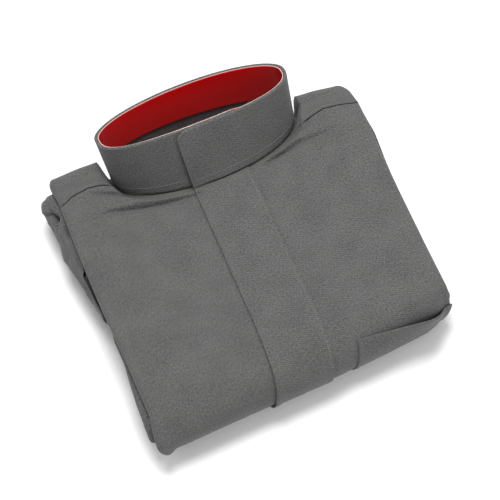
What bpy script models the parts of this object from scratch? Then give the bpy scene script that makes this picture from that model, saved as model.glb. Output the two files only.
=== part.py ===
"""A man's long robe with a stand collar, pressed, folded and lying flat on its skirt.

The front lies on top. Its sides are folded behind it, the skirt is rolled under along a soft
lower fold, and the yoke comes over the shoulders from the back. The collar stands up from the
neck on its own band. Lengths are in metres, +Z is up, +Y points to the shoulders and +X to the
wearer's left. The layout is drawn about the centre front line and then moved, so that the
origin is on the ground under the middle of the folded robe.
"""
import math

import bpy
import numpy as np

MM = 0.001

# Cloth: one wall, and the room that each piece keeps to the next
WALL = 1.5 * MM
GAP = 0.3 * MM
LAY = WALL + GAP

# Folded robe
THICK = 50 * MM                  # from the ground to the top of the front
FOLD_R = THICK / 2               # soft lower fold
FOLD_Y = -97 * MM                # axis of the lower fold
HEM_R = 6.5 * MM                 # second fold of the skirt, under the shoulders
HEM_Y = 104 * MM                 # axis of the second fold
CORNER_CUT = 8 * MM              # the lower fold draws back this far at the wearer's left
CORNER_SPAN = (78 * MM, 125 * MM)   # over this width
SIDE_R = 4.5 * MM                # pressed fold down each side
EDGE_FALL = 2.5 * MM             # the top falls away this far towards the side folds
EDGE_SPAN = (96 * MM, 124 * MM)  # over this width
SQUARE_X = 100 * MM              # panels keep straight columns up to here
EDGE_X = 120 * MM                # nominal place of the last flat column
SPINE_Z = THICK / 2              # middle of the stack of plies
SPINE_END_Y = 86 * MM            # upper end of that middle line
ORIGIN = (-3.3 * MM, 14.6 * MM)  # centre of the whole box in the layout

# Half width of the front at its side folds. Columns: y, left, right
REACH = np.array((
    (-125, 116.5, 116.0),
    (-104, 117.5, 119.5),
    (-58, 120.5, 121.2),
    (-8, 123.5, 123.2),
    (30, 124.5, 125.3),
    (60, 125.0, 129.2),
    (84, 125.0, 126.7),
    (97, 124.5, 123.5),
    (106, 124.0, 120.5),
    (118, 122.0, 118.0),
)) * MM
UNDER_REACH = 117 * MM           # half width where it rests
REST_RISE = (4 * MM, 30 * MM)    # it widens to the table's value between these heights

# Collar: a tilted band on an oval seam, a little wider across at its rim
TILT = math.radians(24.5)
NECK = np.array((-1.0, 99.1, 33.0)) * MM
COLLAR_HEIGHT = 47 * MM
BASE_ACROSS, BASE_DEEP = 73.6 * MM, 42.1 * MM
RIM_ACROSS, RIM_DEEP = 82.8 * MM, 37.8 * MM
COLLAR_WALL = 2.4 * MM
LAP_STEP = COLLAR_WALL + GAP
LAP_TOP_END = math.radians(-106)     # free end that shows, on the wearer's right of the centre
LAP_UNDER_END = math.radians(-70)    # end that it covers
LAP_EASE = np.radians((40, 95))      # the covered end eases out over this turn
LINER_EASE = np.radians((40, 85))    # and so does the liner, each way from the centre
TAB_CORNER = 9 * MM                  # rounding of the free end's upper corner
TAB_TURNS = np.radians((11.0, 6.4, 4.6, 3.0, 1.6, 0.6, 0.0))   # columns before the free end
COLLAR_COLUMNS, LINER_COLUMNS = 57, 48
LINER_WALL = 1.0 * MM
LINER_FOOT = 5 * MM                  # the liner stays this far above the neck seam
NECK_TUCK = 3.0 * MM                 # the front runs this far in under the collar
NECK_GAP = 0.5 * MM                  # the collar stands this far above the cloth it is sewn to
DENT_REACH, DENT_FLAT = 20 * MM, 4 * MM   # the cloth sinks between these distances from the neck

# Yoke seam across each shoulder. Columns: x, y
YOKE_SEAM = np.array((
    (-126, 87), (-121, 92.5), (-113, 96.5), (-98, 97.5), (-88, 95.5), (-79, 91), (-64, 90),
    (64, 84), (72, 81.5), (79, 81), (88, 84), (100, 87), (112, 85.5), (121, 82.5), (130, 79),
)) * MM
SHOULDER_Y = 102.4 * MM              # axis of the shoulder fold at the centre line
SHOULDER_SKEW = -0.061               # the shoulders lie a little askew
SHOULDER_FOOT = 18.5 * MM            # underside of the shoulder fold
NAPE_FOOT = 3 * MM                   # underside of the cloth behind the collar
SHOULDER_SPAN = (70 * MM, 95 * MM)   # the nape's edge passes into the shoulder's over this width
FOOT_SPAN = (45 * MM, 95 * MM)       # and its underside over this one
NAPE_ACROSS, NAPE_DEEP = 90 * MM, 41 * MM
YOKE_TURN = math.radians(136)
SEAM_GAP = 0.6 * MM
YOKE_SHARES = np.array((0.0, 0.25, 0.5, 0.68, 0.8, 0.9, 1.0))
CORE_SLACK = 2.4 * MM                # the hidden layers sink away under the neck
SINK_RUN = 60 * MM                   # from this far up the front
SLACK_SPAN = (20 * MM, 30 * MM)      # up to this distance from the neck seam
STEEP_SLACK = 1.5 * MM               # and this much more on the steep slope beside it
STEEP_START, STEEP_STOP = (55 * MM, 65 * MM), (105 * MM, 90 * MM)

# Placket and chest pocket
PLACKET_OPEN_X, PLACKET_SEWN_X = -22 * MM, 25 * MM
TRIM_TURN = math.radians(138)        # both go round the lower fold to here, clear of the ground
POCKET_X = 41 * MM
POCKET_TURN = math.radians(37)       # the pocket's mouth lies this far round the lower fold
POCKET_WRAP = math.radians(95)
POCKET_LAY = LAY + 0.1 * MM          # it bends round two folds at once, so it lies looser

# Plies at the sides, between the pressed folds. Columns: upper depth, lower depth
PLIES = np.array(((9.4, 16.6), (17.2, 24.4))) * MM
# How far each ply reaches past the front's fold. Columns: left upper, left lower, right upper,
# right lower, for the outer and the inner ply
PLY_REACH = np.array(((6.5, -1.0, 1.5, -0.5), (2.5, 1.0, 3.0, 1.5))) * MM
PLY_GROOVE = 2.0 * MM
PLY_SLACK = 0.7 * MM             # room inside the pressed fold
HEM_SLACK = 1.2 * MM             # room inside the skirt's second fold
HEM_TUCK = 2.5 * MM              # the core stays this far in at the second fold's sides
TUCK_Y = 96 * MM                 # beyond here
NOTCH_Y, NOTCH_Z = 101 * MM, 12.4 * MM   # hollow between the shoulder fold and the second fold

# Sleeves, folded behind, seen as a bulge at each side. Columns: y, left reach, right reach
SLEEVE = np.array((
    (-20, 0.0, 0.0), (-2, 2.5, 1.0), (16, 6.0, 2.0), (43, 11.0, 3.5), (57, 13.0, 4.0),
    (71, 11.6, 4.0), (95, 15.0, 5.5), (106, 15.6, 6.0), (116, 14.0, 5.5), (123, 8.0, 3.0),
)) * MM
SLEEVE_HALF = 15 * MM            # half its thickness
SLEEVE_TURN = math.radians(112)  # how far it rounds in, above and below
SLEEVE_SLOT = -9 * MM            # its edges run in between the plies to here
SLEEVE_SLACK = {-1: 3.4 * MM, 1: 2.2 * MM}   # from its outer face in to the plies that fill it
SLEEVE_FOOT, SLEEVE_HEAD = -8 * MM, 121 * MM
SLEEVE_LEAD = 20 * MM            # the plies draw in for the sleeve this far below its foot
FILLING_STOP = (84 * MM, 96 * MM)
SLEEVE_ROWS = 13
SLEEVE_CLOSE = np.array((100, 104, 108, 113, 117, 121)) * MM   # rows that close its upper end
SLEEVE_FLAT_TURN, SLEEVE_END_TURN = math.radians(50), math.radians(55)
SLEEVE_THIN = (6 * MM, 13 * MM)  # where it stands out less, it rounds in less
SLEEVE_END_SPAN = (78 * MM, 100 * MM)
SLEEVE_END_SHRINK, SLEEVE_END_SINK = 0.45, 1.5 * MM

ROOT = bpy.data.collections.new("thobe_robe")

# Finishes: colour, roughness
FINISHES = {
    "suiting": ((0.145, 0.15, 0.148), 0.86),
    "liner": ((0.62, 0.006, 0.008), 0.25),
}


def clear_scene():
    for thing in list(bpy.data.objects):
        bpy.data.objects.remove(thing, do_unlink=True)
    bpy.context.scene.collection.children.link(ROOT)


def smooth(low, high, value):
    part = np.clip((value - low) / (high - low), 0.0, 1.0)
    return part * part * (3.0 - 2.0 * part)


def mix(first, second, share):
    return first + (second - first) * share


# Neck and seams


def neck_plane(y):
    """Height of the tilted plane that holds the neck seam."""
    return NECK[2] + (NECK[1] - y) * math.tan(TILT)


def outside_neck(x, y):
    """Distance from the neck seam's oval in plan, negative inside it."""
    across = x - NECK[0]
    along = y - NECK[1]
    ratio = np.hypot(across / BASE_ACROSS, along / (BASE_DEEP * math.cos(TILT)))
    return np.hypot(across, along) * (1.0 - 1.0 / np.maximum(ratio, 0.05))


def dent(x, y):
    """How far the cloth sinks below the top near the collar."""
    sink = np.maximum(THICK - (neck_plane(y) - NECK_GAP), 0.0)
    return sink * (1.0 - smooth(DENT_FLAT, DENT_REACH, outside_neck(x, y)))


def neck_front(x, tuck):
    """Front half of the neck oval in plan, drawn in by the tuck, and open-ended beyond it."""
    across = np.clip((x - NECK[0]) / (BASE_ACROSS - tuck), -1.0, 1.0)
    deep = BASE_DEEP * math.cos(TILT) - tuck
    return NECK[1] - deep * np.sqrt(1.0 - across * across)


def seam(x):
    """Upper edge of the fronts: round the neck, then along the yoke seam."""
    shoulder = np.interp(x, YOKE_SEAM[:, 0], YOKE_SEAM[:, 1])
    return np.minimum(neck_front(x, NECK_TUCK), shoulder)


def square_out(x, y, z):
    """Spread the columns beyond SQUARE_X, so that the last one meets the side fold."""
    share = (np.abs(x) - SQUARE_X) / (EDGE_X - SQUARE_X)
    wide = np.where(x < 0.0, reach(-1, y, z), reach(1, y, z)) - SIDE_R
    return np.where(share > 0.0, np.sign(x) * mix(SQUARE_X, wide, share), x)


def reach(x_side, y, z):
    """Half width at the side folds: the table on top, one even width where it rests."""
    column = 1 if x_side < 0 else 2
    top = np.interp(y, REACH[:, 0], REACH[:, column])
    return mix(UNDER_REACH, top, smooth(*REST_RISE, z))


# Stations: a place on the loop that runs down the front, round the lower fold, back along the
# ground and up round the second fold, or from the yoke seam over the shoulder


def edge_ease(x):
    """How far the top falls away towards the side folds."""
    return EDGE_FALL * smooth(*EDGE_SPAN, np.abs(x))


def body_loop(x, run, layer):
    """y and z at the run, measured down from the start of the lower fold; layer goes inwards."""
    corner = CORNER_CUT * smooth(*CORNER_SPAN, x)
    ease = edge_ease(x)
    turn = np.clip(run / FOLD_R, 0.0, math.pi)
    straight = HEM_Y - FOLD_Y
    under = np.clip(run - math.pi * FOLD_R, 0.0, straight)
    second = np.clip((run - math.pi * FOLD_R - straight) / HEM_R, 0.0, math.pi)
    inset = layer + ease * (1.0 + np.cos(turn)) / 2.0
    radius = FOLD_R - inset
    y = FOLD_Y + corner * np.sin(turn) - np.minimum(run, 0.0) - radius * np.sin(turn) + under
    z = FOLD_R + radius * np.cos(turn)
    y = y + (HEM_R - layer) * np.sin(second)
    z = z + (HEM_R - layer) * (1.0 - np.cos(second))
    on_top = (run <= 0.0)
    return y, z - np.where(on_top, dent(x, y), 0.0)


def yoke_loop(x, share, layer):
    """y and z from the yoke seam, share 0 to 1, to the shoulder fold, 1 to 2, and round it."""
    side = smooth(*SHOULDER_SPAN, np.abs(x))
    start = seam(x) + SEAM_GAP / 2
    nape = NECK[1] + NAPE_DEEP * np.sqrt(np.maximum(1.0 - (x / NAPE_ACROSS) ** 2, 0.0))
    edge = mix(nape, SHOULDER_Y + SHOULDER_SKEW * x, side)
    foot = mix(NAPE_FOOT, SHOULDER_FOOT, smooth(*FOOT_SPAN, np.abs(x)))
    ease = edge_ease(x)
    crest = THICK - ease - dent(x, edge)
    tall = (crest - foot) / 2.0
    turn = np.clip(share - 1.0, 0.0, 1.0) * YOKE_TURN
    flat_y = mix(start, edge, np.clip(share, 0.0, 1.0))
    flat_z = THICK - ease - dent(x, flat_y) - layer
    y = flat_y + (tall - layer) * np.sin(turn)
    rolled = foot + tall + (tall - layer) * np.cos(turn)
    return y, np.where(share <= 1.0, flat_z, rolled)


def drawn_in(y, z, depth, layer):
    """Move a loop's points towards the spine of the stack, by the depth past their layer."""
    share = (depth - layer) / (SPINE_Z - layer)
    spine_y = np.clip(y, FOLD_Y, SPINE_END_Y)
    return mix(y, spine_y, share), mix(z, SPINE_Z, share)


def across(flat, turns, side, layer):
    """Columns from the centre to a side fold. Returns name, x or offset, and depth of each."""
    fold = SIDE_R - layer
    columns = [("flat", value, layer) for value in flat]
    for turn in turns:
        columns.append(("fold", fold * math.sin(turn) - SIDE_R, SIDE_R - fold * math.cos(turn)))
    return [(kind, side, value, depth) for kind, value, depth in columns]


def lay(columns, stations, loop, layer):
    """Grid of points: each column is laid along the loop's stations."""
    rows = []
    for kind, side, value, depth in columns:
        if kind == "flat":
            x = np.full(len(stations(0.0)), side * value)
            y, z = loop(x, stations(side * value), layer)
            x = square_out(x, y, z)
        else:
            edge = side * EDGE_X
            x = np.full(len(stations(edge)), edge)
            y, z = drawn_in(*loop(x, stations(edge), layer), depth, layer)
            x = side * (reach(side, y, z) + value)
        rows.append(np.stack((x, y, z), axis=-1))
    return np.array(rows)


# Meshes


def finish(name):
    colour, roughness = FINISHES[name]
    material = bpy.data.materials.get(name) or bpy.data.materials.new(name)
    material.use_nodes = True
    shader = material.node_tree.nodes["Principled BSDF"]
    shader.inputs["Base Color"].default_value = (*colour, 1.0)
    shader.inputs["Roughness"].default_value = roughness
    return material


def add_object(name, mesh, material):
    for polygon in mesh.polygons:
        polygon.use_smooth = True
    mesh.set_sharp_from_angle(angle=math.radians(50))
    mesh.materials.append(finish(material))
    thing = bpy.data.objects.new(name, mesh)
    ROOT.objects.link(thing)
    return thing


def grid_faces(rows, columns, around=False):
    """Quads of a grid, closed along its columns where around is set."""
    faces = []
    for row in range(rows - 1):
        for column in range(columns if around else columns - 1):
            after = (column + 1) % columns
            faces.append((row * columns + column, row * columns + after,
                          (row + 1) * columns + after, (row + 1) * columns + column))
    return faces


def placed(points):
    moved = points.reshape(-1, 3).copy()
    moved[:, 0] -= ORIGIN[0]
    moved[:, 1] -= ORIGIN[1]
    return moved


def cloth(name, points, material="suiting", wall=WALL, flip=False, around=False):
    """A grid of points on a piece's outer side, given its wall inwards."""
    rows, columns = points.shape[:2]
    faces = grid_faces(rows, columns, around)
    if flip:
        faces = [face[::-1] for face in faces]
    mesh = bpy.data.meshes.new(name)
    mesh.from_pydata([tuple(point) for point in placed(points)], [], faces)
    thing = add_object(name, mesh, material)
    shell = thing.modifiers.new("Wall", "SOLIDIFY")
    shell.thickness = wall
    shell.offset = -1.0
    return thing


# Pieces

FRONT_FLAT = np.array((0, 12, 25, 38, 49, 57, 63, 67, 71, 76, 82, 90, 100, 110, 120)) * MM
FOLD_TURNS = np.radians((30, 60, 90, 120, 150))
FRONT_ROWS = 10
FIRST_ROW = 3.6 * MM             # the first row lies close to the seam
UNDER_STEPS = np.array((0.16, 0.32, 0.42, 0.58, 0.75, 0.88, 1.0))
HEM_TURNS = np.radians((35, 70))
YOKE_STEPS = 6
BODY_TURNS = np.radians((0, 22.5, 45, 67.5, 90, 112.5, 135, 157.5, 180))


def front_stations():
    """Stations of a front: up the front in even steps, then round the folds."""
    steps = np.linspace(1.0, 0.0, FRONT_ROWS)[:-1]
    under = math.pi * FOLD_R + UNDER_STEPS * (HEM_Y - FOLD_Y)
    runs = np.concatenate((FOLD_R * BODY_TURNS, under, under[-1] + HEM_R * HEM_TURNS))

    def at(x):
        top = seam(x) - SEAM_GAP / 2
        top_rows = np.concatenate(((top,), FOLD_Y + (top - FIRST_ROW - FOLD_Y) * steps))
        return np.concatenate((FOLD_Y - top_rows, runs))
    return at


def front(name, side):
    flat = FRONT_FLAT.copy()
    flat[0] = GAP / 2
    columns = across(flat, FOLD_TURNS, side, 0.0)
    points = lay(columns, front_stations(), body_loop, 0.0)
    return cloth(name, points, flip=side < 0)


def placket():
    """Strip over the front opening, from the neck seam round the lower fold."""
    end = FOLD_R * TRIM_TURN
    rows = []
    for x in np.linspace(PLACKET_OPEN_X, PLACKET_SEWN_X, 5):
        stations = front_stations()(x)[1:]
        stations = np.append(stations[stations < end], end)
        y, z = body_loop(np.full(len(stations), x), stations, -LAY)
        rows.append(np.stack((np.full(len(stations), x), y, z), axis=-1))
    return cloth("placket", np.array(rows))


def pocket():
    """Patch pocket on the left front, at the lower fold and round the side."""
    turns = BODY_TURNS[(BODY_TURNS > POCKET_TURN) & (BODY_TURNS < TRIM_TURN)]
    runs = FOLD_R * np.concatenate(((POCKET_TURN,), turns, (TRIM_TURN,)))
    flat = np.concatenate(((POCKET_X,), FRONT_FLAT[(FRONT_FLAT > POCKET_X)]))
    turns = FOLD_TURNS[FOLD_TURNS < POCKET_WRAP]
    columns = across(flat, turns, 1, -POCKET_LAY)
    points = lay(columns, lambda x: runs, body_loop, -POCKET_LAY)
    return cloth("chest_pocket", points)


def yoke():
    """Yoke over both shoulders and behind the collar; its inside shows through the neck."""
    stations = np.concatenate((YOKE_SHARES, 1.0 + np.linspace(0, 1, YOKE_STEPS + 1)[1:]))
    left = across(FRONT_FLAT[1:], FOLD_TURNS, -1, 0.0)[::-1]
    right = across(FRONT_FLAT, FOLD_TURNS, 1, 0.0)
    points = lay(left + right, lambda x: stations, yoke_loop, 0.0)
    return cloth("yoke", points, flip=True)


def ply_profile(side, layer):
    """Side of the core: inside the pressed fold, then the plies, in to the spine.

    Each entry is a depth, an offset from the front's fold, and the ply it lies on or None.
    """
    fold = SIDE_R - layer - PLY_SLACK
    profile = [(SIDE_R - fold * math.cos(turn), fold * math.sin(turn) - SIDE_R, None)
               for turn in np.radians((45, 90, 135, 180))]
    for number, (upper, lower) in enumerate(PLIES):
        round_r = (lower - upper) / 2
        profile.append((upper - GAP, -SIDE_R - PLY_GROOVE, None))
        for turn in np.radians((0, 50, 90, 130, 180)):
            profile.append((upper + round_r - round_r * math.cos(turn),
                            round_r * math.sin(turn) - round_r, number))
    profile.append((PLIES[-1][1], -SIDE_R, None))
    return profile


def sleeve_reach(side, y):
    """How far the folded sleeve stands out past the side fold."""
    return np.interp(y, SLEEVE[:, 0], SLEEVE[:, 1 if side < 0 else 2], left=0.0, right=0.0)


def filling(side, y, depth):
    """Offset of the plies inside the sleeve: a slot for its edges, then the rounded filling."""
    slack = SLEEVE_SLACK[side]
    half = SLEEVE_HALF - slack - GAP
    rounding = 1.0 - ((depth - SPINE_Z) / half) ** 2
    full = sleeve_reach(side, y) * (1.0 - smooth(*FILLING_STOP, y))
    return np.where(rounding > 0.0, full * np.sqrt(np.maximum(rounding, 0.0)) - slack,
                    SLEEVE_SLOT)


def side_columns(side, profile, loop_y, loop_z, upper_half):
    """Columns of the core's side, each drawn in along the loop by its depth."""
    columns = []
    half = np.where(upper_half, 0, 1) + (0 if side < 0 else 2)
    in_sleeve = (loop_y > SLEEVE_FOOT - SLEEVE_LEAD) & (loop_y < SLEEVE_HEAD)
    tuck = np.where((loop_y > TUCK_Y) & (loop_z < SPINE_Z), HEM_TUCK, 0.0)
    for depth, offset, ply in profile:
        y, z = drawn_in(loop_y, loop_z, depth, LAY)
        out = offset - tuck
        if ply is not None:
            out = out + PLY_REACH[ply][half]
            out = np.where(in_sleeve, filling(side, loop_y, depth), out)
        columns.append(np.stack((side * (reach(side, y, z) + out), y, z), axis=-1))
    return columns


CORE_FLAT = np.array((0, 25, 38, 49, 57, 63, 71, 76, 82, 90, 100, 110, 120)) * MM


def core_loop(x):
    """Closed loop of y and z in one column, from the lower fold up, over, and back beneath."""
    sunk = LAY + CORE_SLACK * (1.0 - smooth(*SLACK_SPAN, outside_neck(x, seam(x))))
    front_runs = front_stations()(x)
    upper = front_runs[front_runs < FOLD_R * math.pi / 2 + GAP][::-1]
    layers = np.where(upper < -SINK_RUN, sunk, LAY)
    front_y, front_z = body_loop(np.full(len(upper), x), upper, layers)
    shares = np.concatenate((YOKE_SHARES[1:], 1.0 + np.linspace(0, 1, YOKE_STEPS + 1)[1:]))
    steep = STEEP_SLACK * smooth(*STEEP_START, abs(x)) * smooth(*STEEP_STOP, abs(x))
    yoke_y, yoke_z = yoke_loop(np.full(len(shares), x), shares, sunk + steep)
    lower = front_runs[front_runs > FOLD_R * math.pi / 2 + GAP][::-1]
    hem_layer = np.where(lower > math.pi * FOLD_R + HEM_Y - FOLD_Y, LAY + HEM_SLACK, LAY)
    lower_y, lower_z = body_loop(np.full(len(lower), x), lower, hem_layer)
    y = np.concatenate((front_y, yoke_y, (NOTCH_Y,), lower_y))
    z = np.concatenate((front_z, yoke_z, (NOTCH_Z,), lower_z))
    return y, z


def core():
    """Hidden layers of the folded robe as one rounded solid, with its plies at the sides."""
    sides = {}
    for side in (-1, 1):
        loop_y, loop_z = core_loop(side * EDGE_X)
        upper_half = loop_z > SPINE_Z - GAP
        profile = ply_profile(side, LAY)
        sides[side] = side_columns(side, profile, loop_y, loop_z, upper_half)
    middle = []
    for x in np.concatenate((-CORE_FLAT[:0:-1], CORE_FLAT)):
        y, z = core_loop(x)
        column_x = square_out(np.full(len(y), x), y, z)
        middle.append(np.stack((column_x, y, z), axis=-1))
    points = np.array(sides[-1][::-1] + middle + sides[1])
    rows, columns = points.shape[:2]
    faces = [face[::-1] for face in grid_faces(rows, columns, around=True)]
    faces.append(tuple(range(columns)))
    faces.append(tuple((rows - 1) * columns + number for number in reversed(range(columns))))
    mesh = bpy.data.meshes.new("folded_layers")
    mesh.from_pydata([tuple(point) for point in placed(points)], [], faces)
    return add_object("folded_layers", mesh, "suiting")


def sleeve(name, side):
    """Sleeve folded behind: a sheet that rounds out at the side, between front and skirt."""
    along = np.concatenate((np.linspace(SLEEVE_FOOT, SLEEVE_CLOSE[0], SLEEVE_ROWS),
                            SLEEVE_CLOSE[1:]))
    y, share = np.meshgrid(along, np.linspace(1.0, -1.0, SLEEVE_ROWS), indexing="ij")
    full = sleeve_reach(side, y)
    widest = mix(SLEEVE_FLAT_TURN, SLEEVE_TURN, smooth(*SLEEVE_THIN, full))
    turns = share * mix(widest, SLEEVE_END_TURN, smooth(*SLEEVE_END_SPAN, y))
    shrink = 1.0 - SLEEVE_END_SHRINK * smooth(SLEEVE_CLOSE[2], SLEEVE_HEAD, y)
    z = SPINE_Z + SLEEVE_HALF * shrink * np.sin(turns) - SLEEVE_END_SINK * (1.0 - shrink)
    x = reach(side, y, z) + full * np.cos(turns) + GAP
    return cloth(name, np.stack((side * x, y, z), axis=-1), flip=side < 0)


def collar_points(turns, heights, inset):
    """Points on the collar band at each turn and height; inset goes towards the neck."""
    share = heights / COLLAR_HEIGHT
    wide = mix(BASE_ACROSS, RIM_ACROSS, share) - inset
    deep = mix(BASE_DEEP, RIM_DEEP, share) - inset
    x = NECK[0] + wide * np.cos(turns)
    along = deep * np.sin(turns)
    y = NECK[1] + heights * math.sin(TILT) + along * math.cos(TILT)
    z = NECK[2] + heights * math.cos(TILT) - along * math.sin(TILT)
    return np.stack((x, y, z), axis=-1)


def lap_inset(turns):
    """The covered end steps inwards by one wall, and eases out again round the side."""
    return LAP_STEP * (1.0 - smooth(*LAP_EASE, turns))


def collar():
    """Stand collar: one strip round the neck whose free end laps over its other end."""
    length = 2 * math.pi + LAP_UNDER_END - LAP_TOP_END
    travelled = np.concatenate((np.linspace(0.0, length - TAB_TURNS[0], COLLAR_COLUMNS),
                                length - TAB_TURNS[1:]))
    turns = LAP_UNDER_END - travelled
    from_end = np.clip((length - travelled) * RIM_ACROSS, 0.0, TAB_CORNER)
    rounding = TAB_CORNER - np.sqrt(TAB_CORNER ** 2 - (TAB_CORNER - from_end) ** 2)
    tall = (COLLAR_HEIGHT - rounding)[:, None]
    heights = np.array((0.0, 0.35, 0.7, 1.0)) * tall
    points = collar_points(turns[:, None], heights, lap_inset(travelled)[:, None])
    return cloth("collar", points, wall=COLLAR_WALL)


def liner():
    """Smooth band inside the collar, clear of the covered end."""
    turns = np.linspace(0.0, -2 * math.pi, LINER_COLUMNS + 1)[:-1]
    front_turn = np.abs(np.angle(np.exp(1j * (turns - math.radians(-90)))))
    step = LAP_STEP * (1.0 - smooth(*LINER_EASE, front_turn))
    inset = COLLAR_WALL + 1.5 * GAP + step
    heights = np.linspace(LINER_FOOT, COLLAR_HEIGHT - GAP, 4)[:, None]
    points = collar_points(turns, heights, inset)
    return cloth("collar_liner", points, "liner", LINER_WALL, flip=True, around=True)


clear_scene()
front("front_right", -1)
front("front_left", 1)
placket()
pocket()
yoke()
core()
sleeve("sleeve_right", -1)
sleeve("sleeve_left", 1)
collar()
liner()
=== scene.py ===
"""Dresses the folded robe: cloth panels, band collar, plies, sleeves, stitching, floor and light.

Lengths are in metres, +Z is up, +Y points to the shoulders and +X to the wearer's left. Shapes
are drawn in a layout about the centre front line and then moved into the part's frame.
"""
from __future__ import annotations

import logging
import math
from dataclasses import dataclass
from enum import Enum
from typing import Callable, Iterable

import bpy
import numpy as np
from mathutils import Matrix, Vector


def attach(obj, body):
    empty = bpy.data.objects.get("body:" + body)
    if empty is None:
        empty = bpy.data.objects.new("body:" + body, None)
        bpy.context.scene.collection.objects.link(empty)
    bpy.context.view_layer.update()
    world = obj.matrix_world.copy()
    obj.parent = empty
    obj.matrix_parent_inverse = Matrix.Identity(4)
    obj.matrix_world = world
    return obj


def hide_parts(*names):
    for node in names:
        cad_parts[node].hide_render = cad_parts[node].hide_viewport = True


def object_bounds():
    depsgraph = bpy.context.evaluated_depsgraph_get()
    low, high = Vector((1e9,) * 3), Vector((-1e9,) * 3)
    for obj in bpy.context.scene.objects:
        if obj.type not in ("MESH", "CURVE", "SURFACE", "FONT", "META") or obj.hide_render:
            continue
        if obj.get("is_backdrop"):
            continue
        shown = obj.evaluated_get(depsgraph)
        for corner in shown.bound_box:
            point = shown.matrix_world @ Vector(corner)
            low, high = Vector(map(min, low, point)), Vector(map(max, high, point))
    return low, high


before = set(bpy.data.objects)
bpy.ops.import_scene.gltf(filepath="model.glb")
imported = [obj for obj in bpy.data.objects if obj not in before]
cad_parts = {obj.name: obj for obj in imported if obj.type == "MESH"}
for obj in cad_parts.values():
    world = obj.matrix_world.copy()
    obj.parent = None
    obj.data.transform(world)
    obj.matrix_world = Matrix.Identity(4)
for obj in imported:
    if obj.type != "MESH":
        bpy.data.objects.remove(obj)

CAD_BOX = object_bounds()
MM = 0.001
BODY = "root"
Array = np.ndarray
Pair = tuple[float, float]
Triple = tuple[float, float, float]
Arrays = tuple[Array, Array]
Loop = Callable[[Array, Array, float], Arrays]
Surface = Callable[[Array, float], Array]
Socket = bpy.types.NodeSocket
Node = bpy.types.Node
Mesh = bpy.types.Mesh
Thing = bpy.types.Object
Material = bpy.types.Material

LOG = logging.getLogger("robe")


class Side(Enum):
    """The wearer's right or left, as the sign of x."""

    RIGHT = -1
    LEFT = 1

    @property
    def word(self) -> str:
        """Name of the side in a piece's name."""
        return self.name.lower()


def smooth(low: float, high: float, value: Array) -> Array:
    """Ease from 0 at low to 1 at high: three times the square less twice the cube.

    Args:
        low: Value where the ease starts.
        high: Value where it ends; it may be the smaller one.
        value: Where to take it.

    Returns:
        Shares from 0 to 1.
    """
    part = np.clip((value - low) / (high - low), 0.0, 1.0)
    return part * part * (3.0 - 2.0 * part)


def mix(first: Array, second: Array, share: Array) -> Array:
    """Straight blend from first to second by the share."""
    return first + (second - first) * share


# Finishes


class Nodes:
    """A new material's node tree, with short calls for the nodes that the finishes share."""

    def __init__(self, name: str, place: str) -> None:
        """Start a material whose patterns lie on the named coordinates."""
        self.material = bpy.data.materials.new(name)
        self.material.use_nodes = True
        self.tree = self.material.node_tree
        self.shader = self.tree.nodes["Principled BSDF"]
        self.place = self.add("ShaderNodeTexCoord").outputs[place]

    @staticmethod
    def put(node: Node, **values: float | Triple) -> Node:
        """Set a node's sockets by their names, in which _ stands for a space."""
        for name, value in values.items():
            node.inputs[name.replace("_", " ")].default_value = value
        return node

    def add(self, kind: str, **values: float | Triple) -> Node:
        """Add a node of the kind and set its sockets."""
        return self.put(self.tree.nodes.new(kind), **values)

    def link(self, source: Socket, node: Node, name: str) -> None:
        """Join a socket to a node's socket of that name."""
        self.tree.links.new(source, node.inputs[name])

    def stretched(self, scale: Triple, turn: float = 0.0) -> Socket:
        """Coordinates scaled along each axis and turned in their plane."""
        mapping = self.add("ShaderNodeMapping", Scale=scale, Rotation=(0.0, 0.0, turn))
        self.link(self.place, mapping, "Vector")
        return mapping.outputs["Vector"]

    def noise(self, scale: Triple, octaves: float) -> Socket:
        """Noise with the scale's repeats for each metre along each axis."""
        noise = self.add("ShaderNodeTexNoise", Scale=1.0, Detail=octaves)
        self.link(self.stretched(scale), noise, "Vector")
        return noise.outputs["Fac"]

    def blend(self, first: Socket, second: Socket, share: float) -> Socket:
        """Blend two values, with the share of the second."""
        node = self.add("ShaderNodeMix", Factor=share)
        self.link(first, node, "A")
        self.link(second, node, "B")
        return node.outputs["Result"]

    def colour(self, value: Socket, stops: Iterable[tuple[float, Triple]]) -> None:
        """Colour the shader by a value between two stops, each a place and a colour."""
        ramp = self.add("ShaderNodeValToRGB")
        for element, (place, colour) in zip(ramp.color_ramp.elements, stops):
            element.position = place
            element.color = (*colour, 1.0)
        self.link(value, ramp, "Fac")
        self.link(ramp.outputs["Color"], self.shader, "Base Color")


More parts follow.
